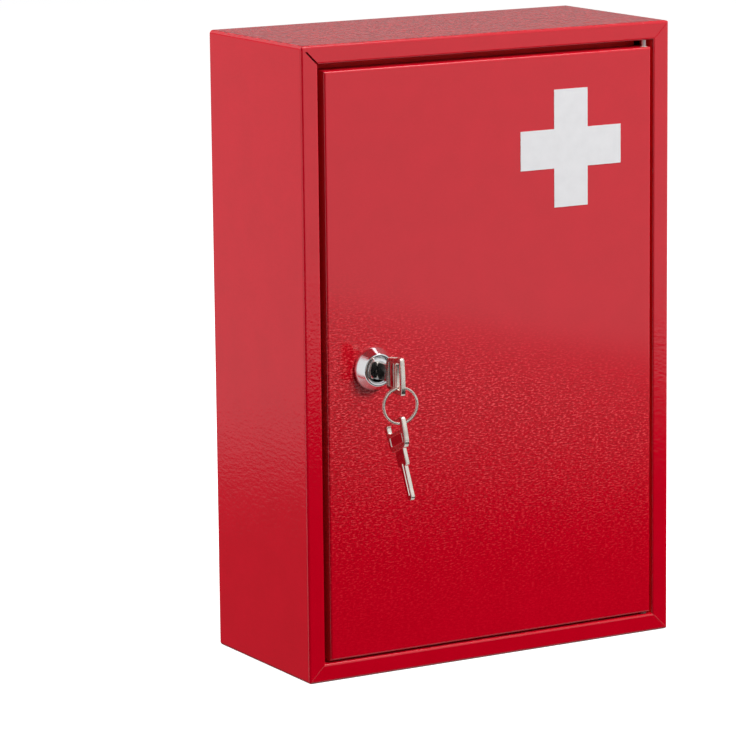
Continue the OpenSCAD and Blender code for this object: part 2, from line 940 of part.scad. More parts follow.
module key_ring() {
    turn = ring_width / 2 - turn_gap;
    color(nickel)
        translate([lock_x, slot_y, ring_z])
            rotate([0, 0, -ring_yaw])
                rotate([90, 0, 0])
                    difference() {
                        rotate_extrude() {
                            for (s = [0, 1])
                                translate([ring_bore, s > 0 ? turn_gap : -ring_width / 2])
                                    square([ring_wall, turn]);
                            translate([ring_bore + turn_core, -turn_core])
                                square([ring_wall - 2 * turn_core, 2 * turn_core]);
                        }
                        wire_end(wire_end_front, ring_width / 2);
                        wire_end(wire_end_rear, -ring_width / 2);
                    }
}

module spare_key() {
    color(nickel)
        translate([lock_x, slot_y, ring_foot])
            rotate([-spare_lean, 0, 0])
                rotate([0, 90, 0])
                    translate([-spare_pivot_s, spare_pivot_w, 0])
                        key_body();
}

case_wrap();
back_panel();
shelf();
shelf_bracket_left();
shelf_bracket_right();
bumper_upper();
bumper_lower();
strike_plate();
hinge_pin_top();
hinge_pin_bottom();
hinge_washer();
door_panel();
hinge_block_top();
hinge_block_bottom();
cross_decal();
lock_barrel();
lock_washer();
lock_nut();
lock_plug();
stop_washer();
cam_lever();
cam_washer();
cam_screw();
key();
key_ring();
spare_key();
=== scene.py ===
"""Looks for the lockable medicine cabinet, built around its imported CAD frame. Metres, Z up."""
import itertools
import json
import math

import bmesh
import bpy
from mathutils import Matrix, Vector


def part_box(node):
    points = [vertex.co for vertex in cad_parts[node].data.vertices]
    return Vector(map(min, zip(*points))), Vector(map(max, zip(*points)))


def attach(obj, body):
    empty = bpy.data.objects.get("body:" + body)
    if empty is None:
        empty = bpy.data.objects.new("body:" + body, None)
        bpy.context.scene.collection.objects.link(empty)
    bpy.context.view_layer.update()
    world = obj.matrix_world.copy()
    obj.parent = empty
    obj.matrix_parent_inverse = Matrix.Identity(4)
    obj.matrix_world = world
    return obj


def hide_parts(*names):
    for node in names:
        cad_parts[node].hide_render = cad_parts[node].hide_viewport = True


MM = 0.001

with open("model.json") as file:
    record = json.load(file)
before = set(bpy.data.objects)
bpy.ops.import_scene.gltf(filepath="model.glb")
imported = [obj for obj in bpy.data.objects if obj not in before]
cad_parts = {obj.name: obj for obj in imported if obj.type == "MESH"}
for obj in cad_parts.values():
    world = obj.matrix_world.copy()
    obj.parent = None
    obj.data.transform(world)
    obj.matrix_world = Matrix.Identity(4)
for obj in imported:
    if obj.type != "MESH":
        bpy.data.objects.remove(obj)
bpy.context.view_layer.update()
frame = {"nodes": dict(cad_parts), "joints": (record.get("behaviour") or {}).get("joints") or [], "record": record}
NODES = frame["nodes"]
bpy.context.scene.view_settings.view_transform = "Standard"


# ---- places taken from the frame, in millimetres ----

def corners(node):
    """A CAD node's lowest and highest corners, to the micrometre."""
    return [[round(value / MM, 3) for value in corner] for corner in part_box(node)]


def joint_place(name):
    """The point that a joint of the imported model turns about, to the micrometre."""
    joint = next(joint for joint in frame["joints"] if joint["name"] == name)
    return [round(value / MM, 3) for value in joint["pos_m"]]


CASE_LOW, CASE_HIGH = corners("case_wrap")
HALF_WIDTH, FRONT, HEIGHT = CASE_HIGH[0], CASE_LOW[1], CASE_HIGH[2]
DOOR_RIGHT, _, DOOR_TOP = corners("door_panel")[1]
LOCK_X, _, LOCK_Z = joint_place("lock_turn")
_, SLOT_Y, RING_FOOT = joint_place("spare_swing")
PLUG_FACE, CAM_END = (corner[1] for corner in corners("lock_plug"))
BOW_END = corners("key")[0][1]


# ---- camera: the photograph's viewing angle ----

IMAGE_SIZE = 736
FOCAL_PIXELS = 4105.18
SENSOR = 36.0
CAMERA_PLACE = Vector((-1066.62, -1786.97, 534.28)) * MM
CAMERA_YAW = 0.5195
CAMERA_PITCH = -0.1858
CAMERA_ROLL = -0.0109
CAMERA_NEAR, CAMERA_FAR = 0.05, 50


def link(obj):
    bpy.context.scene.collection.objects.link(obj)
    return obj


def add_camera():
    data = bpy.data.cameras.new("camera")
    data.sensor_width = SENSOR
    data.lens = SENSOR * FOCAL_PIXELS / IMAGE_SIZE
    data.clip_start, data.clip_end = CAMERA_NEAR, CAMERA_FAR
    camera = link(bpy.data.objects.new("camera", data))
    turn = Matrix.Rotation(-CAMERA_YAW, 4, "Z") @ Matrix.Rotation(math.pi / 2 + CAMERA_PITCH, 4, "X")
    camera.matrix_world = Matrix.Translation(CAMERA_PLACE) @ turn @ Matrix.Rotation(CAMERA_ROLL, 4, "Z")
    bpy.context.scene.camera = camera


add_camera()


# ---- shader helpers ----

class Shader:
    """One material's node tree, with short ways to add nodes."""

    def __init__(self, name):
        self.material = bpy.data.materials.new(name)
        self.material.use_nodes = True
        self.tree = self.material.node_tree
        self.tree.nodes.clear()
        self.out = self.node("OutputMaterial")
        self.main = self.node("BsdfPrincipled")
        self.link(self.main.outputs["BSDF"], self.out.inputs["Surface"])
        self.coordinates = self.node("TexCoord")
        self.place = self.coordinates.outputs["Object"]

    def node(self, kind, **values):
        made = self.tree.nodes.new("ShaderNode" + kind)
        for key, value in values.items():
            setattr(made, key, value)
        return made

    def link(self, source, target):
        self.tree.links.new(source, target)

    def set(self, **values):
        for key, value in values.items():
            self.main.inputs[key.replace("_", " ")].default_value = value

    def noise(self, size, detail=2.0, roughness=0.5, stretch=(1, 1, 1)):
        """Noise whose features are about size metres across."""
        mapping = self.node("Mapping")
        mapping.inputs["Scale"].default_value = [s / size for s in stretch]
        made = self.node("TexNoise")
        made.inputs["Scale"].default_value = 1.0
        made.inputs["Detail"].default_value = detail
        made.inputs["Roughness"].default_value = roughness
        self.link(self.place, mapping.inputs["Vector"])
        self.link(mapping.outputs["Vector"], made.inputs["Vector"])
        return made.outputs["Fac"]

    def axis(self, letter, kind="Object"):
        """One coordinate of the place or of the normal, in the object's own frame."""
        split = self.node("SeparateXYZ")
        self.link(self.coordinates.outputs[kind], split.inputs["Vector"])
        return split.outputs[letter]

    def step(self, source, start, end):
        """Smooth step from 0 at start to 1 at end."""
        made = self.node("MapRange", interpolation_type="SMOOTHSTEP")
        made.inputs["From Min"].default_value = start
        made.inputs["From Max"].default_value = end
        self.link(source, made.inputs["Value"])
        return made.outputs["Result"]

    def plus(self, first, second):
        made = self.node("Math", operation="ADD")
        self.link(first, made.inputs[0])
        self.link(second, made.inputs[1])
        return made.outputs["Value"]

    def times(self, first, second):
        made = self.node("Math", operation="MULTIPLY")
        self.link(first, made.inputs[0])
        if isinstance(second, (int, float)):
            made.inputs[1].default_value = second
        else:
            self.link(second, made.inputs[1])
        return made.outputs["Value"]

    def within(self, letter, low, high):
        """1 where a coordinate lies between two places, 0 elsewhere."""
        above = self.node("Math", operation="GREATER_THAN")
        below = self.node("Math", operation="LESS_THAN")
        place = self.axis(letter)
        for test, limit in ((above, low), (below, high)):
            self.link(place, test.inputs[0])
            test.inputs[1].default_value = limit
        return self.times(above.outputs["Value"], below.outputs["Value"])

    def cells(self, size):
        made = self.node("TexVoronoi")
        made.inputs["Scale"].default_value = 1.0 / size
        self.link(self.place, made.inputs["Vector"])
        return made

    def spread(self, source, low, high, start=0.3, end=0.7):
        """Maps a 0 to 1 value so that start becomes low and end becomes high."""
        made = self.node("MapRange")
        made.inputs["From Min"].default_value = start
        made.inputs["From Max"].default_value = end
        made.inputs["To Min"].default_value = low
        made.inputs["To Max"].default_value = high
        self.link(source, made.inputs["Value"])
        return made.outputs["Result"]

    def mix(self, factor, first, second):
        made = self.node("Mix", data_type="RGBA")
        self.link(factor, made.inputs["Factor"])
        for socket, value in ((made.inputs[6], first), (made.inputs[7], second)):
            if isinstance(value, (tuple, list)):
                socket.default_value = (*value, 1)
            else:
                self.link(value, socket)
        return made.outputs[2]

    def bump(self, height, strength, distance, before=None):
        made = self.node("Bump")
        made.inputs["Strength"].default_value = strength
        made.inputs["Distance"].default_value = distance
        self.link(height, made.inputs["Height"])
        if before is not None:
            self.link(before, made.inputs["Normal"])
        return made.outputs["Normal"]


# ---- materials ----

# Powder coat: its reds, then the wrinkled skin's painted crest light and valley shade, then painted glints on
# crests.
RED_LIGHT, RED_DEEP, MOTTLE_SIZE = (0.535, 0.0004, 0.0125), (0.505, 0.0003, 0.011), 16 * MM
# Painted light on the skin's crests and painted shade in its valleys, mixed in by height.
CREST_PAINTED_LIGHT, VALLEY_PAINTED_SHADE = (0.69, 0.001, 0.014), (0.27, 0.0002, 0.003)
CREST_LEVEL, VALLEY_LEVEL, WRINKLE_SHARE = 0.64, 0.38, 0.68
# Painted glints: pale pink flecks on the crests in place of highlights; strong on the door, faint on top.
PAINTED_GLINT, PAINTED_GLINT_START, PAINTED_GLINT_FULL = (0.76, 0.066, 0.078), 0.55, 0.63
DOOR_PAINTED_GLINT, TOP_PAINTED_GLINT = 0.82, 0.1
COAT_ROUGHNESS, COAT_GLOSS = 0.05, 0.68

# The skin's wrinkle size, stretch and depth, and the least share of it anywhere.
DOOR_PEEL, TOP_PEEL = 0.82 * MM, 1.5 * MM
DOOR_STRETCH, TOP_STRETCH = (0.42, 1, 1.1), (1, 0.4, 1)
DOOR_SKIN_DEPTH, TOP_SKIN_DEPTH = 0.05 * MM, 0.6 * MM
SKIN_GRAIN, SKIN_GRAIN_DEPTH = 0.4 * MM, 0.02 * MM
SKIN_LEAST = 0.05

# On the door the skin ends along a slanted line and fades toward the foot; on the case it is on top.
SKIN_SLANT, SKIN_END, SKIN_FULL = 0.3, 190 * MM, 128 * MM
FOOT_SHARE, FOOT_START, FOOT_END = 0.15, 13 * MM, 138 * MM
TOP_FACING_START, TOP_FACING_FULL = 0.6, 0.95
TOP_SKIN_START, TOP_SKIN_FULL = (HEIGHT - 4) * MM, (HEIGHT - 2) * MM

# The gap around the door, where the coat is thin and dull: the space behind the front flanges.
GAP_INSET_X, GAP_INSET_Z, DOOR_MARGIN = 3.5, 3, 0.1
GAP_HALF_WIDTH = (HALF_WIDTH - GAP_INSET_X) * MM
GAP_LOW, GAP_HIGH = GAP_INSET_Z * MM, (HEIGHT - GAP_INSET_Z) * MM
GAP_FRONT, GAP_REAR = (FRONT + 1.1) * MM, (FRONT + 12.6) * MM
GAP_ROUGHNESS = 0.8
# The gap above the door and on the hinge side is painted a lighter red: painted light in its shade.
GAP_PAINTED_LIGHT_RED = (0.90, 0.0004, 0.006)
GAP_ABOVE_DOOR, GAP_HINGE_SIDE = (DOOR_TOP + DOOR_MARGIN) * MM, (DOOR_RIGHT + DOOR_MARGIN) * MM


def door_skin(s):
    """The wrinkled skin is strong around the lock's height and fades upward and downward."""
    z = s.axis("Z")
    slant = s.plus(z, s.times(s.axis("X"), SKIN_SLANT))
    return s.times(s.step(slant, SKIN_END, SKIN_FULL), s.spread(z, FOOT_SHARE, 1, FOOT_START, FOOT_END))


def case_skin(s):
    """On the case the wrinkled skin is strong on the outer top, where spray settles."""
    return s.times(s.step(s.axis("Z", "Normal"), TOP_FACING_START, TOP_FACING_FULL),
                   s.step(s.axis("Z"), TOP_SKIN_START, TOP_SKIN_FULL))


def red_powder_coat(name, skin, size, depth, stretch, painted_glint):
    """Glossy powder coat over a wrinkled skin, thin and dull in the gap around the door, with painted light and
    shade.
    """
    s = Shader(name)
    share = s.spread(skin(s), SKIN_LEAST, 1, 0, 1)
    peel = s.noise(size, 2.5, 0.55, stretch)
    height = s.times(peel, share)
    mottle = s.mix(s.spread(s.noise(MOTTLE_SIZE, 3), 0, 1), RED_LIGHT, RED_DEEP)
    # Painted light on the crests and painted shade in the valleys of the skin.
    wrinkle_light_and_shade = s.mix(s.spread(peel, 0, 1, VALLEY_LEVEL, CREST_LEVEL), VALLEY_PAINTED_SHADE, CREST_PAINTED_LIGHT)
    coat = s.mix(s.times(share, WRINKLE_SHARE), mottle, wrinkle_light_and_shade)
    # Painted glints on the crests, strongest where the skin is.
    painted_glint_share = s.times(s.times(share, share), painted_glint)
    coat = s.mix(s.times(s.step(peel, PAINTED_GLINT_START, PAINTED_GLINT_FULL), painted_glint_share), coat, PAINTED_GLINT)

    gap = s.times(s.times(s.within("X", -GAP_HALF_WIDTH, GAP_HALF_WIDTH),
                          s.within("Y", GAP_FRONT, GAP_REAR)),
                  s.within("Z", GAP_LOW, GAP_HIGH))
    # Painted light in the gap's shade: lighter red above the door and on the hinge side.
    painted_light_sides = s.plus(s.within("Z", GAP_ABOVE_DOOR, GAP_HIGH),
                   s.within("X", GAP_HINGE_SIDE, GAP_HALF_WIDTH))
    s.link(s.mix(s.times(gap, painted_light_sides), coat, GAP_PAINTED_LIGHT_RED), s.main.inputs["Base Color"])
    s.link(s.spread(gap, COAT_ROUGHNESS, GAP_ROUGHNESS, 0, 1), s.main.inputs["Roughness"])
    s.set(Specular_IOR_Level=COAT_GLOSS)

    skin_relief = s.bump(height, 1.0, depth)
    grain = s.times(s.noise(SKIN_GRAIN, 1.0, 0.4), share)
    s.link(s.bump(grain, 0.5, SKIN_GRAIN_DEPTH, skin_relief), s.main.inputs["Normal"])
    return s.material


def plated_metal(name, light, dark, roughness, scratches):
    """Plated metal with cloudy colour and roughness, and hairline marks scratches millimetres deep."""
    s = Shader(name)
    cloud = s.noise(5 * MM, 4, 0.6)
    s.link(s.mix(s.spread(cloud, 0, 1), light, dark), s.main.inputs["Base Color"])
    s.set(Metallic=1.0)
    s.link(s.spread(s.noise(1.2 * MM, 2), roughness * 0.85, roughness * 1.2),
           s.main.inputs["Roughness"])
    hair = s.noise(0.25 * MM, 2, 0.6)
    s.link(s.bump(hair, 0.5, scratches * MM), s.main.inputs["Normal"])
    return s.material


def zinc_plate(name):
    """Zinc plated steel: small crystals, dull patches."""
    s = Shader(name)
    spangle = s.cells(1.6 * MM)
    tone = s.spread(spangle.outputs["Distance"], 0, 1, 0.0, 0.9)
    s.link(s.mix(tone, (0.56, 0.57, 0.60), (0.72, 0.72, 0.73)), s.main.inputs["Base Color"])
    s.set(Metallic=1.0)
    s.link(s.spread(s.noise(2 * MM, 3), 0.28, 0.5), s.main.inputs["Roughness"])
    s.link(s.bump(s.noise(0.4 * MM, 3), 0.2, 0.03 * MM), s.main.inputs["Normal"])
    return s.material


def cross_film(name):
    """Cut vinyl film with a faint embossed grain from the coat below."""
    s = Shader(name)
    s.link(s.mix(s.spread(s.noise(6 * MM, 3), 0, 1), (0.715, 0.71, 0.725), (0.68, 0.675, 0.69)),
           s.main.inputs["Base Color"])
    s.link(s.spread(s.noise(2 * MM, 2), 0.42, 0.55), s.main.inputs["Roughness"])
    s.link(s.bump(s.noise(1.6 * MM, 1.5, 0.4), 0.2, 0.06 * MM), s.main.inputs["Normal"])
    return s.material


def moulded(name, light, dark, roughness, grain):
    """Moulded rubber or nylon with fine grain."""
    s = Shader(name)
    s.link(s.mix(s.spread(s.noise(2 * MM, 3), 0, 1), light, dark), s.main.inputs["Base Color"])
    s.link(s.spread(s.noise(0.8 * MM, 3), roughness - 0.08, roughness + 0.08),
           s.main.inputs["Roughness"])
    s.link(s.bump(s.noise(0.3 * MM, 2), grain, 0.04 * MM), s.main.inputs["Normal"])
    return s.material


RED = red_powder_coat("red_powder", case_skin, TOP_PEEL, TOP_SKIN_DEPTH, TOP_STRETCH, TOP_PAINTED_GLINT)
DOOR_RED = red_powder_coat("door_red_powder", door_skin, DOOR_PEEL, DOOR_SKIN_DEPTH, DOOR_STRETCH,
                           DOOR_PAINTED_GLINT)
CHROME = plated_metal("lock_chrome", (0.90, 0.90, 0.91), (0.85, 0.85, 0.87), 0.1, 0.0002)
NICKEL = plated_metal("key_nickel", (0.96, 0.88, 0.80), (0.91, 0.83, 0.75), 0.24, 0.0005)
# Darker copies of the key's nickel, painted shade: on the bow's raised flats, and on neck, blade and recess
# floors.
BOW_NICKEL_PAINTED_SHADE = plated_metal("bow_nickel_painted_shade", (0.66, 0.60, 0.56), (0.56, 0.50, 0.46), 0.27, 0.0008)
SHANK_NICKEL_PAINTED_SHADE = plated_metal("shank_nickel_painted_shade", (0.58, 0.55, 0.52), (0.50, 0.47, 0.44), 0.16, 0.0008)
ZINC = zinc_plate("zinc_steel")
FILM = cross_film("cross_film")
RUBBER = moulded("rubber", (0.030, 0.030, 0.032), (0.018, 0.018, 0.019), 0.7, 0.3)
NYLON = moulded("nylon", (0.80, 0.78, 0.70), (0.74, 0.72, 0.64), 0.45, 0.15)
PIN_STEEL = plated_metal("pin_steel", (0.98, 0.98, 0.98), (0.94, 0.94, 0.95), 0.55, 0.001)
# Dark steel for the lower hinge pin and washer: painted shade where they show in the door's gap.
PAINTED_SHADE_STEEL = plated_metal("painted_shade_steel", (0.24, 0.21, 0.20), (0.19, 0.17, 0.16), 0.5, 0.001)

SLOT_MATERIALS = {
    "red_paint": RED, "zinc_steel": ZINC, "lock_chrome": CHROME, "key_nickel": NICKEL,
    "cross_film": FILM, "rubber": RUBBER, "nylon": NYLON,
}


def dress(obj, material):
    obj.data.materials.clear()
    obj.data.materials.append(material)


for part in frame["record"]["subparts"]:
    dress(NODES[part["node"]], SLOT_MATERIALS[part["material_slot"]])
dress(NODES["door_panel"], DOOR_RED)
dress(NODES["hinge_pin_top"], PIN_STEEL)
# The lower hinge pin and washer are dressed dark instead of their own finish: painted shade at the door's foot.
for node_name in ("hinge_pin_bottom", "hinge_washer"):
    dress(NODES[node_name], PAINTED_SHADE_STEEL)


# ---- softened edges on the small CAD pieces ----

CREASE_ANGLE = math.radians(32)


def soften(name, width):
    """Rounds a CAD node's sharp edges by a width in millimetres, through modifiers alone."""
    obj = NODES[name]
    weld = obj.modifiers.new("weld", "WELD")
    weld.merge_threshold = 0.002 * MM
    flat = obj.modifiers.new("flat", "DECIMATE")
    flat.decimate_type = "DISSOLVE"
    flat.angle_limit = math.radians(0.5)
    bevel = obj.modifiers.new("bevel", "BEVEL")
    bevel.width = width * MM
    bevel.segments = 2
    bevel.limit_method = "ANGLE"
    bevel.angle_limit = CREASE_ANGLE
    bevel.use_clamp_overlap = True
    normal = obj.modifiers.new("normal", "WEIGHTED_NORMAL")
    normal.weight = 90


SOFT_EDGES = {
    "lock_nut": 0.3, "cam_lever": 0.25, "cam_washer": 0.12,
    "cam_screw": 0.15, "stop_washer": 0.12, "lock_washer": 0.12, "strike_plate": 0.15,
    "hinge_block_top": 0.3, "hinge_block_bottom": 0.3, "hinge_pin_top": 0.2,
    "hinge_pin_bottom": 0.2, "hinge_washer": 0.08, "bumper_upper": 0.25, "bumper_lower": 0.25,
    "shelf_bracket_left": 0.15, "shelf_bracket_right": 0.15, "shelf": 0.15,
}
for node_name, edge_width in SOFT_EDGES.items():
    soften(node_name, edge_width)


# ---- detail pieces, in millimetres ----

def new_piece(name, mesh, material, body, slot, *replaced):
    """A piece that rides on a body and takes the place of the nodes named last."""
    obj = link(bpy.data.objects.new(name, mesh))
    mesh.materials.append(material)
    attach(obj, body)
    if replaced:
        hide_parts(*replaced)
    return obj


def grid_mesh(name, rows, close_rows=False, close_columns=True, caps=False):
    """Mesh from rows of points in millimetres; neighbours in a row and between rows are joined."""
    columns = len(rows[0])
    points = [Vector(point) * MM for row in rows for point in row]
    faces = []
    row_steps = len(rows) if close_rows else len(rows) - 1
    column_steps = columns if close_columns else columns - 1
    for i in range(row_steps):
        low, high = i * columns, (i + 1) % len(rows) * columns
        for j in range(column_steps):
            k = (j + 1) % columns
            faces.append((low + j, low + k, high + k, high + j))
    if caps:
        faces.append(tuple(reversed(range(columns))))
        last = (len(rows) - 1) * columns
        faces.append(tuple(range(last, last + columns)))
    mesh = bpy.data.meshes.new(name)
    mesh.from_pydata(points, [], faces)
    shape = bmesh.new()
    shape.from_mesh(mesh)
    bmesh.ops.recalc_face_normals(shape, faces=shape.faces)
    shape.to_mesh(mesh)
    shape.free()
    mesh.shade_smooth()
    return mesh


def crisp(obj):
    """Keeps edges sharper than the crease angle as creases, and the rest smooth."""
    obj.data.set_sharp_from_angle(angle=CREASE_ANGLE)
    return obj


def lock_point(radius, angle, y):
    return (LOCK_X + radius * math.cos(angle), y, LOCK_Z + radius * math.sin(angle))


COLLAR_STEPS = 144
BARREL_FLAT, BARREL_END_RADIUS = 7.1, 6.6
BARREL_RADIUS = 8.0
BARREL_START, BARREL_END = FRONT + 0.8, FRONT + 13.5
THREAD_PITCH = 1.0
THREAD_DEPTH = 0.45
THREAD_ROWS = 6
PLUG_BORE, BORE_SEAT = 5.25, -2.1

# Radius and place along the lock's axis, counted from the door's face.
COLLAR_OUTLINE = (
    (6.25, BORE_SEAT), (6.25, -4.95), (6.32, -5.1), (6.8, -5.1), (6.85, -5.15), (6.85, -6.25),
    (6.93, -6.43), (7.1, -6.5), (7.85, -6.5), (8.08, -6.44), (8.24, -6.28), (8.36, -6.0),
    (10.5, -2.25), (10.82, -1.6), (10.96, -1.0), (11.0, 0),
)


def add_barrel():
    """Chrome collar and threaded barrel with two flats; a true helical thread."""
    angles = [2 * math.pi * i / COLLAR_STEPS for i in range(COLLAR_STEPS)]
    rows = [[lock_point(radius, a, FRONT + y) for a in angles] for radius, y in COLLAR_OUTLINE]
    step = THREAD_PITCH / THREAD_ROWS
    count = int((BARREL_END - BARREL_START) / step)
    for i in range(count + 1):
        y = BARREL_START + i * step
        row = []
        for a in angles:
            turn = (y / THREAD_PITCH - a / (2 * math.pi)) % 1.0
            radius = BARREL_RADIUS - THREAD_DEPTH * (1 - abs(2 * turn - 1)) * (0 < i < count)
            x, _, z = lock_point(radius, a, y)
            row.append((LOCK_X + max(-BARREL_FLAT, min(BARREL_FLAT, x - LOCK_X)), y, z))
        if i == 0:
            rows.append([(x, FRONT, z) for x, _, z in row])
        rows.append(row)
    for radius, y in ((BARREL_END_RADIUS, BARREL_END), (BARREL_END_RADIUS, BARREL_END),
                      (PLUG_BORE, BARREL_END), (PLUG_BORE, FRONT + BORE_SEAT)):
        rows.append([lock_point(radius, a, y) for a in angles])
    mesh = grid_mesh("lock_collar", rows, close_rows=True)
    crisp(new_piece("lock_collar", mesh, CHROME, "door", "lock_chrome", "lock_barrel"))


PLUG_SHOULDER, PLUG_END = FRONT - 2.05, FRONT + 13.55
PLUG_OUTLINE = (
    (4.6, PLUG_FACE), (5.85, PLUG_FACE), (6.06, PLUG_FACE + 0.06), (6.2, PLUG_FACE + 0.28),
    (6.2, PLUG_SHOULDER), (5.2, PLUG_SHOULDER), (5.2, PLUG_END),
)
PLUG_STEPS = 96
KEYWAY_HALF_X, KEYWAY_HALF_Z, KEYWAY_END = 1.15, 2.4, FRONT + 11.2
TAIL_HALF, TAIL_OVERLAP = 3.5, 0.2


def box_object(name, low, high):
    """A box from its lowest and highest corners, to cut with or to join on."""
    corners = [Vector(corner) * MM for corner in itertools.product(*zip(low, high))]
    shape = bmesh.new()
    verts = [shape.verts.new(corner) for corner in corners]
    bmesh.ops.convex_hull(shape, input=verts)
    mesh = bpy.data.meshes.new(name)
    shape.to_mesh(mesh)
    shape.free()
    return link(bpy.data.objects.new(name, mesh))


def add_plug():
    """Plug with a rounded face, a keyway and a square tail for the cam."""
    angles = [2 * math.pi * i / PLUG_STEPS for i in range(PLUG_STEPS)]
    rows = [[lock_point(radius, a, y) for a in angles] for radius, y in PLUG_OUTLINE]
    body = link(bpy.data.objects.new("plug", grid_mesh("plug", rows, caps=True)))
    keyway = box_object("keyway", (LOCK_X - KEYWAY_HALF_X, PLUG_FACE - 1, LOCK_Z - KEYWAY_HALF_Z),
                        (LOCK_X + KEYWAY_HALF_X, KEYWAY_END, LOCK_Z + KEYWAY_HALF_Z))
    parts = [cut(body, [keyway])]
    tail = box_object("tail", (LOCK_X - TAIL_HALF, PLUG_END - TAIL_OVERLAP, LOCK_Z - TAIL_HALF),
                      (LOCK_X + TAIL_HALF, CAM_END, LOCK_Z + TAIL_HALF))
    parts.append(tail.data)
    bpy.data.objects.remove(tail)
    mesh = join_meshes("plug_turning", parts, Matrix.Identity(4))
    crisp(new_piece("plug_turning", mesh, CHROME, "lock_core", "lock_chrome", "lock_plug"))


RING_MID = 8.95
RING_CENTRE = Vector((LOCK_X, SLOT_Y, RING_FOOT + RING_MID))
RING_YAW = math.radians(-7)
WIRE_HALF_WALL, WIRE_HALF_WIDTH = 0.55, 0.46
WIRE_CORNER, WIRE_CORNER_STEPS, WIRE_PLAY = 0.18, 3, 0.03
RING_STEPS, RING_TURNS = 200, 2 - 0.012
RING_BEGIN = math.radians(38)
RING_CROSSING = 0.11


def wire_section():
    """Flat wire with rounded corners: (radial, axial) offsets."""
    radial, axial = WIRE_HALF_WALL - WIRE_CORNER, WIRE_HALF_WIDTH - WIRE_CORNER
    points = []
    for quarter in range(4):
        sx = 1 if quarter in (0, 3) else -1
        sz = 1 if quarter in (0, 1) else -1
        for i in range(WIRE_CORNER_STEPS + 1):
            a = math.pi / 2 * (quarter + i / WIRE_CORNER_STEPS)
            points.append((sx * radial + WIRE_CORNER * math.cos(a),
                           sz * axial + WIRE_CORNER * math.sin(a)))
    return points


def smooth_step(t):
    t = max(0.0, min(1.0, t))
    return t * t * (3 - 2 * t)


def add_ring():
    """Split ring: almost two full turns of flat wire that cross over once."""
    section = wire_section()
    side = WIRE_HALF_WIDTH + WIRE_PLAY
    rows = []
    for i in range(RING_STEPS + 1):
        t = RING_TURNS * i / RING_STEPS
        a = RING_BEGIN + 2 * math.pi * t
        axial = side * (2 * smooth_step((t - (RING_TURNS - RING_CROSSING) / 2) / RING_CROSSING) - 1)
        row = []
        for radial, across in section:
            radius = RING_MID + radial
            flat = Vector((radius * math.cos(a), across + axial, radius * math.sin(a)))
            row.append(RING_CENTRE + Matrix.Rotation(RING_YAW, 3, "Z") @ flat)
        rows.append(row)
    mesh = grid_mesh("split_ring", rows, caps=True)
    ring = crisp(new_piece("split_ring", mesh, NICKEL, "key_ring", "key_nickel", "key_ring"))
    ring.visible_glossy = ring.visible_shadow = False


BEAD_HALF_WIDTH, BEAD_HEIGHT = 0.34, 0.1
BEAD_STEPS, BEAD_COLUMNS = 40, 7
BEAD_START, BEAD_STOP = 1.3, 0.9
BEAD_SUNK = 0.02
FLANGE = 9.5


def add_mitre_bead(name, corner_x, corner_z, toward_x, toward_z):
    """Fine weld line under the paint, along one flange corner's mitre."""
    rows = []
    across = Vector((toward_z, 0, -toward_x)).normalized()
    for i in range(BEAD_STEPS + 1):
        t = BEAD_START + (FLANGE - BEAD_STOP - BEAD_START) * i / BEAD_STEPS
        fade = min(1, i / 3, (BEAD_STEPS - i) / 3)
        wave = 1 + 0.12 * math.sin(2.1 * i) + 0.08 * math.sin(5.3 * i)
        middle = Vector((corner_x + toward_x * t, FRONT, corner_z + toward_z * t))
        row = []
        half = BEAD_HALF_WIDTH * (0.4 + 0.6 * fade)
        for j in range(BEAD_COLUMNS):
            s = 2 * j / (BEAD_COLUMNS - 1) - 1
            lift = BEAD_HEIGHT * (1 - s * s) * fade * wave - BEAD_SUNK
            row.append(middle + across * (s * half) + Vector((0, -lift, 0)))
        rows.append(row)
    mesh = grid_mesh(name, rows, close_columns=False)
    new_piece(name, mesh, RED, "case", "red_paint")


# The key, drawn flat: x from the end of the bow to the tip, y across, z through the thickness.
BOW_LENGTH, BOW_HALF, BOW_THICK = 15.5, 9.5, 2.4
BOW_TAPER = 1.3
SHOULDER_RADIUS = 3.4
END_LEAN, END_REACH = 0.06, 6.0
NECK_LENGTH, NECK_HALF = 8.6, 4.25
BLADE_LENGTH, BLADE_HALF, SHANK_THICK = 17.0, 2.25, 2.0
NECK_END = BOW_LENGTH + NECK_LENGTH
KEY_TIP = NECK_END + BLADE_LENGTH
KEY_EDGE, SHANK_EDGE, TOOL_EDGE = 0.3, 0.22, 0.02
SERRATION_PITCH, SERRATION_DEPTH = 0.82, 0.26
BLADE_CUTS = ((35.8, 0.12),)
RIM_RADIUS, RIM_STEPS = 0.16, 8
GROOVE_START, GROOVE_STOP = NECK_END - 1.5, KEY_TIP - 2.4
GROOVE_OFFSET, GROOVE_HALF = 0.5, 0.55
CUTTER_THICK, RECESS_DEPTH = 1.0, 0.35

# Start, end and half width; the slot and the recess also have a corner radius.
KEY_SLOT = (1.9, 6.1, 6.6, 1.2)
KEY_RECESS = (7.9, 12.6, 6.2, 0.5)
RIB_COLUMNS = ((6.5, 7.4, 6.2), (13.1, 14.6, 5.6))
RIB_PITCH, RIB_HALF, RIB_HEIGHT, RIB_SUNK = 1.0, 0.25, 0.3, 0.05


def arc(x, y, radius, start, end, steps=6):
    """Points on an arc, angles in degrees."""
    angles = [math.radians(start + (end - start) * i / steps) for i in range(steps + 1)]
    return [(x + radius * math.cos(a), y + radius * math.sin(a)) for a in angles]


def rounded_box(x0, x1, half, radius):
    return (arc(x1 - radius, half - radius, radius, 90, 0)
            + arc(x1 - radius, radius - half, radius, 0, -90)
            + arc(x0 + radius, radius - half, radius, -90, -180)
            + arc(x0 + radius, half - radius, radius, 180, 90))


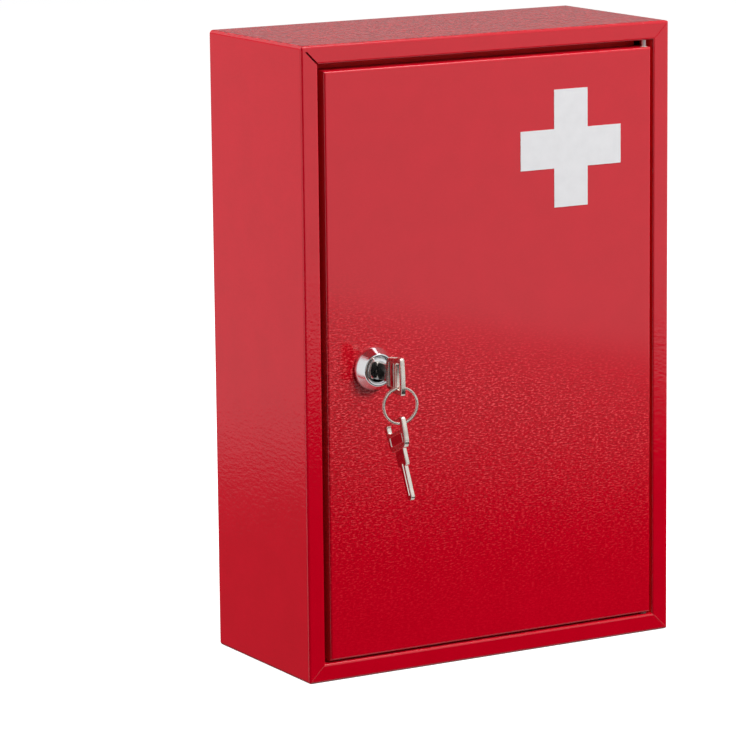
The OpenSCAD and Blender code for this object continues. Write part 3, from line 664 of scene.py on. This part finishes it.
def serrated(start, end):
    """A straight edge with small teeth cut in to the right of its direction."""
    start, end = Vector(start), Vector(end)
    along = (end - start).normalized()
    inward = Vector((along.y, -along.x))
    count = int((end - start).length / SERRATION_PITCH)
    points = []
    for i in range(count):
        at = start + (end - start) * (i / count)
        step = (end - start) / count
        points += [at, at + step * 0.45, at + step * 0.6 + inward * SERRATION_DEPTH,
                   at + step * 0.85 + inward * SERRATION_DEPTH]
    return [tuple(point) for point in points] + [tuple(end)]


def bow_outline():
    """Bow with a gently curved end, tapered sides, one of them serrated, and round shoulders."""
    low = BOW_HALF - BOW_TAPER
    corner = (4.2, BOW_HALF - 0.03)
    shoulder_start = (BOW_LENGTH - SHOULDER_RADIUS + 0.2, low + 0.2)
    top = [(0.0, 0.0), (0.03, 2.5), (0.14, 5.0)] + arc(2.1, BOW_HALF - 1.9, 1.9, 165, 95, 5)
    shoulder = arc(BOW_LENGTH - SHOULDER_RADIUS, low - SHOULDER_RADIUS, SHOULDER_RADIUS, 80, 5, 8)
    shoulder.append((BOW_LENGTH, NECK_HALF))
    toothed = top + serrated(corner, shoulder_start) + shoulder
    plain = top + [corner, shoulder_start] + shoulder
    outline = toothed + [(x, -y) for x, y in reversed(plain[1:])]
    return [(x + END_LEAN * (y + BOW_HALF) * max(0.0, 1 - x / END_REACH), y) for x, y in outline]


def shank_outline():
    """Neck and blade, with the blade's shallow cuts on both its edges."""
    half = [(BOW_LENGTH - 1.2, NECK_HALF), (NECK_END - 1.4, NECK_HALF),
            (NECK_END - 0.4, NECK_HALF - 0.4), (NECK_END, NECK_HALF - 1.4), (NECK_END, BLADE_HALF)]
    for x, depth in BLADE_CUTS:
        half += [(x - 0.9, BLADE_HALF), (x - 0.35, BLADE_HALF - depth), (x + 0.35, BLADE_HALF - depth),
                 (x + 0.9, BLADE_HALF)]
    half += arc(KEY_TIP - 1.9, BLADE_HALF - 1.9, 1.9, 88, 0, 6)
    return half + [(x, -y) for x, y in reversed(half)]


def plate_object(name, outlines, thickness, bevel, z=0.0):
    """A flat plate with rounded edges; the first outline is its rim, the rest are holes."""
    curve = bpy.data.curves.new(name, "CURVE")
    curve.dimensions = "2D"
    curve.fill_mode = "BOTH"
    curve.extrude = (thickness / 2 - bevel) * MM
    curve.bevel_depth = bevel * MM
    curve.bevel_resolution = 2
    curve.offset = -bevel * MM
    for outline in outlines:
        spline = curve.splines.new("POLY")
        spline.points.add(len(outline) - 1)
        for point, (x, y) in zip(spline.points, outline):
            point.co = (x * MM, y * MM, 0, 1)
        spline.use_cyclic_u = True
    shell = link(bpy.data.objects.new(name, curve))
    graph = bpy.context.evaluated_depsgraph_get()
    mesh = bpy.data.meshes.new_from_object(shell.evaluated_get(graph))
    bpy.data.objects.remove(shell)
    shape = bmesh.new()
    shape.from_mesh(mesh)
    bmesh.ops.remove_doubles(shape, verts=shape.verts, dist=0.002 * MM)
    bmesh.ops.recalc_face_normals(shape, faces=shape.faces)
    bmesh.ops.translate(shape, verts=shape.verts, vec=(0, 0, z * MM))
    shape.to_mesh(mesh)
    shape.free()
    return link(bpy.data.objects.new(name, mesh))


def cut(obj, tools):
    """Takes the tool objects out of obj and removes them."""
    for tool in tools:
        modifier = obj.modifiers.new("cut", "BOOLEAN")
        modifier.operation = "DIFFERENCE"
        modifier.solver = "EXACT"
        modifier.object = tool
    graph = bpy.context.evaluated_depsgraph_get()
    mesh = bpy.data.meshes.new_from_object(obj.evaluated_get(graph))
    for gone in [obj] + tools:
        bpy.data.objects.remove(gone)
    return mesh


def loop_tube(points, radius, z):
    """A closed round wire through the given points."""
    rows = []
    count = len(points)
    for i, (x, y) in enumerate(points):
        x0, y0 = points[i - 1]
        x1, y1 = points[(i + 1) % count]
        out = Vector((y1 - y0, x0 - x1, 0)).normalized()
        angles = [2 * math.pi * k / RIM_STEPS for k in range(RIM_STEPS)]
        rows.append([Vector((x, y, z)) + out * radius * math.cos(a)
                     + Vector((0, 0, radius * math.sin(a))) for a in angles])
    return grid_mesh("frame", rows, close_rows=True)


def rib_mesh(side):
    """Two columns of small struck ribs on one face of the bow."""
    shape = bmesh.new()
    face = BOW_THICK / 2
    for x0, x1, half in RIB_COLUMNS:
        count = int(2 * half / RIB_PITCH)
        for i in range(count + 1):
            y = (i - count / 2) * RIB_PITCH
            section = ((y - RIB_HALF, face - RIB_SUNK), (y + RIB_HALF, face - RIB_SUNK),
                       (y, face + RIB_HEIGHT))
            corners = [Vector((x, across, side * z)) * MM for x in (x0, x1) for across, z in section]
            bmesh.ops.convex_hull(shape, input=[shape.verts.new(corner) for corner in corners])
    mesh = bpy.data.meshes.new("ribs")
    shape.to_mesh(mesh)
    shape.free()
    return mesh


def key_mesh(rib_side):
    """One key: serrated bow with slot, recess and struck rim, neck, grooved blade."""
    bow = plate_object("bow", [bow_outline(), rounded_box(*KEY_SLOT)], BOW_THICK, KEY_EDGE)
    recess = rounded_box(*KEY_RECESS)
    panel_z = BOW_THICK / 2 + CUTTER_THICK / 2 - RECESS_DEPTH
    panels = [plate_object("panel", [recess], CUTTER_THICK, TOOL_EDGE, side * panel_z)
              for side in (1, -1)]
    parts = [cut(bow, panels)]
    shank = plate_object("shank", [shank_outline()], SHANK_THICK, SHANK_EDGE)
    grooves = []
    for side in (1, -1):
        low, high = side * GROOVE_OFFSET - GROOVE_HALF, side * GROOVE_OFFSET + GROOVE_HALF
        box = [(GROOVE_START, low), (GROOVE_STOP, low), (GROOVE_STOP, high), (GROOVE_START, high)]
        grooves.append(plate_object("groove", [box], CUTTER_THICK, TOOL_EDGE, side * SHANK_THICK / 2))
    parts.append(cut(shank, grooves))
    for side in (1, -1):
        parts.append(loop_tube(recess, RIM_RADIUS, side * BOW_THICK / 2))
    parts.append(rib_mesh(rib_side))
    return parts


def join_meshes(name, meshes, matrix, finish=None):
    """One mesh from several, placed by a matrix in metres; finish may set each face's material."""
    shape = bmesh.new()
    for mesh in meshes:
        shape.from_mesh(mesh)
    if finish:
        finish(shape)
    shape.transform(matrix)
    joined = bpy.data.meshes.new(name)
    shape.to_mesh(joined)
    shape.free()
    joined.shade_smooth()
    return joined


FLAT_NORMAL = 0.97


def key_finish(shape):
    """Edges keep the first material, raised flats get the second, all other flats the third, both darker: painted
    shade.
    """
    for face in shape.faces:
        if abs(face.normal.z) > FLAT_NORMAL:
            middle = face.calc_center_median()
            raised = abs(middle.z) > (BOW_THICK / 2 - 0.1) * MM
            face.material_index = 1 if raised else 2
        else:
            face.material_index = 0


SPARE_SHIFT = Vector((-3.1813, 5.2387, 0))
SPARE_LEAN = math.radians(-24.01)


def turned(axis, degrees):
    return Matrix.Rotation(math.radians(degrees), 4, axis)


def add_keys():
    """The two keys; neither shades the door, and gloss leaves out the one on the ring."""
    upright = turned("Y", 90)
    in_lock = (Matrix.Translation(Vector((LOCK_X, BOW_END, LOCK_Z)) * MM) @ upright @ turned("Z", 90))
    hanging = (Matrix.Translation(Vector((LOCK_X, SLOT_Y, RING_FOOT)) * MM)
               @ Matrix.Rotation(SPARE_LEAN, 4, "X") @ upright @ Matrix.Translation(SPARE_SHIFT * MM))
    for name, place, node, rib_side in (("key_in_lock", in_lock, "key", -1),
                                        ("key_on_ring", hanging, "spare_key", 1)):
        mesh = join_meshes(name, key_mesh(rib_side), place, key_finish)
        key = crisp(new_piece(name, mesh, NICKEL, node, "key_nickel", node))
        mesh.materials.append(BOW_NICKEL_PAINTED_SHADE)
        mesh.materials.append(SHANK_NICKEL_PAINTED_SHADE)
        key.visible_shadow = False
        key.visible_glossy = node != "spare_key"


add_barrel()
add_plug()
add_ring()
add_keys()
add_mitre_bead("mitre_bead_lower_left", -HALF_WIDTH, 0, 1, 1)
add_mitre_bead("mitre_bead_lower_right", HALF_WIDTH, 0, -1, 1)
add_mitre_bead("mitre_bead_upper_right", HALF_WIDTH, HEIGHT, -1, -1)


# ---- light and floor ----

LAMP_TARGET_HIGH, LAMP_TARGET_LOW = (0, 0, 0.25), (0, 0, 0.2)


def add_area(name, place, target, size, power):
    data = bpy.data.lights.new(name, "AREA")
    data.shape = "RECTANGLE"
    data.size, data.size_y = size
    data.energy = power
    light = link(bpy.data.objects.new(name, data))
    direction = Vector(target) - Vector(place)
    aim = direction.to_track_quat("-Z", "Y").to_matrix().to_4x4()
    light.matrix_world = Matrix.Translation(place) @ aim
    return light


FILL, SURROUND_GREY = 1.35, (0.8, 0.8, 0.8, 1)
WORLD_TILT, WORLD_EDGE_LOW, WORLD_EDGE_HIGH = 0.0135, -0.2065, -0.1865


class World:
    """The studio surround, as brightness by direction."""

    def __init__(self):
        world = bpy.data.worlds.new("studio")
        bpy.context.scene.world = world
        world.use_nodes = True
        self.tree = world.node_tree
        self.tree.nodes.clear()
        self.direction = self.tree.nodes.new("ShaderNodeTexCoord").outputs["Generated"]
        split = self.tree.nodes.new("ShaderNodeSeparateXYZ")
        self.link(self.direction, split.inputs["Vector"])
        self.x, self.y, self.z = split.outputs["X"], split.outputs["Y"], split.outputs["Z"]

    def link(self, source, target):
        self.tree.links.new(source, target)

    def ramp(self, source, start, end, low, high):
        made = self.tree.nodes.new("ShaderNodeMapRange")
        made.interpolation_type = "SMOOTHSTEP"
        for key, value in (("From Min", start), ("From Max", end), ("To Min", low), ("To Max", high)):
            made.inputs[key].default_value = value
        self.link(source, made.inputs["Value"])
        return made.outputs["Result"]

    def math(self, operation, first, second):
        made = self.tree.nodes.new("ShaderNodeMath")
        made.operation = operation
        for socket, value in ((made.inputs[0], first), (made.inputs[1], second)):
            if isinstance(value, (int, float)):
                socket.default_value = value
            else:
                self.link(value, socket)
        return made.outputs["Value"]

    def card(self, toward, wide, narrow, low, high):
        """Value high within the angle narrow of a direction, low beyond the angle wide."""
        dot = self.tree.nodes.new("ShaderNodeVectorMath")
        dot.operation = "DOT_PRODUCT"
        dot.inputs[1].default_value = Vector(toward).normalized()
        self.link(self.direction, dot.inputs[0])
        return self.ramp(dot.outputs["Value"], math.cos(math.radians(wide)),
                         math.cos(math.radians(narrow)), low, high)

    def finish(self, matt, gloss):
        """Camera and glass see at least strength 1, gloss sees the gloss pattern, all else the matt one."""
        path = self.tree.nodes.new("ShaderNodeLightPath").outputs
        seen = self.math("MAXIMUM", path["Is Camera Ray"], path["Is Transmission Ray"])
        other = self.math("MULTIPLY", matt, self.math("SUBTRACT", 1, path["Is Glossy Ray"]))
        level = self.math("ADD", self.math("MULTIPLY", gloss, path["Is Glossy Ray"]), other)
        surround = self.tree.nodes.new("ShaderNodeBackground")
        surround.inputs["Color"].default_value = SURROUND_GREY
        out = self.tree.nodes.new("ShaderNodeOutputWorld")
        self.link(self.math("MAXIMUM", seen, level), surround.inputs["Strength"])
        self.link(surround.outputs["Background"], out.inputs["Surface"])


DARK_CARD = (-0.52, -0.85, -0.15)
ABOVE_CARD, FRONT_CARD = (-0.19, 0.85, 0.49), (0.45, -0.68, 0.55)


def add_world():
    """Bright with a soft lower edge, dimmer behind and above; gloss also meets pale cards."""
    world = World()
    slant = world.math("ADD", world.z, world.math("MULTIPLY", world.y, WORLD_TILT))
    level = world.ramp(slant, WORLD_EDGE_LOW, WORLD_EDGE_HIGH, 0.0, 1.0)
    level = world.math("MAXIMUM", level, world.ramp(world.y, 0.3, 0.7, 0.0, 0.22))
    zenith = world.ramp(world.z, -0.05, 0.19, 1.0, 0.38)
    behind = world.ramp(world.y, 0.1, 0.7, 1.0, 0.53)
    dark = world.card(DARK_CARD, 30, 20, 1.0, 0.03)
    level = world.math("MULTIPLY", world.math("MULTIPLY", level, zenith),
                       world.math("MULTIPLY", behind, dark))
    matt = world.math("MULTIPLY", level, FILL)
    gloss = world.math("MULTIPLY", level, world.ramp(world.z, 0.75, 0.9, 1.0, 0.2))
    strip = world.ramp(world.math("ABSOLUTE", world.y, 0), 0.25, 0.4, 1.0, 0.0)
    left = world.math("MULTIPLY", strip, world.ramp(world.x, -0.6, -0.45, 1.0, 0.0))
    above = world.card(ABOVE_CARD, 24, 12, 0.0, 1.0)
    front = world.card(FRONT_CARD, 34, 22, 0.0, 1.0)
    below = world.ramp(world.z, -0.75, -0.5, 0.8, 0.0)
    for card in (left, above, front, below):
        gloss = world.math("MAXIMUM", gloss, card)
    world.finish(matt, gloss)


FLOOR_HALF, FLOOR_GREY, FLOOR_GLOW = 12.0, (0.6, 0.6, 0.6, 1), 0.72


def add_floor():
    """A pale floor, white to the camera near the cabinet; it lights nothing and no gloss shows it."""
    corners = [(x * FLOOR_HALF, y * FLOOR_HALF, 0) for x, y in ((-1, -1), (1, -1), (1, 1), (-1, 1))]
    mesh = bpy.data.meshes.new("floor")
    mesh.from_pydata(corners, [], [(0, 1, 2, 3)])
    floor = link(bpy.data.objects.new("floor", mesh))
    s = Shader("floor")
    s.set(Base_Color=FLOOR_GREY, Roughness=0.9, Specular_IOR_Level=0.0, Emission_Color=(1, 1, 1, 1))
    camera_ray = s.node("LightPath").outputs["Is Camera Ray"]
    s.link(s.times(camera_ray, FLOOR_GLOW), s.main.inputs["Emission Strength"])
    mesh.materials.append(s.material)
    floor.visible_glossy = False
    floor.visible_diffuse = False


add_world()
add_floor()
for lamp in (add_area("key", (1.05, -1.8, 1.85), LAMP_TARGET_HIGH, (1.2, 0.9), 78),
             add_area("left", (-1.4, 0.55, 0.95), LAMP_TARGET_LOW, (0.7, 0.7), 28.5)):
    lamp.visible_glossy = False
add_area("edge", (0.75, -0.5, 1.7), LAMP_TARGET_HIGH, (0.9, 0.35), 5)
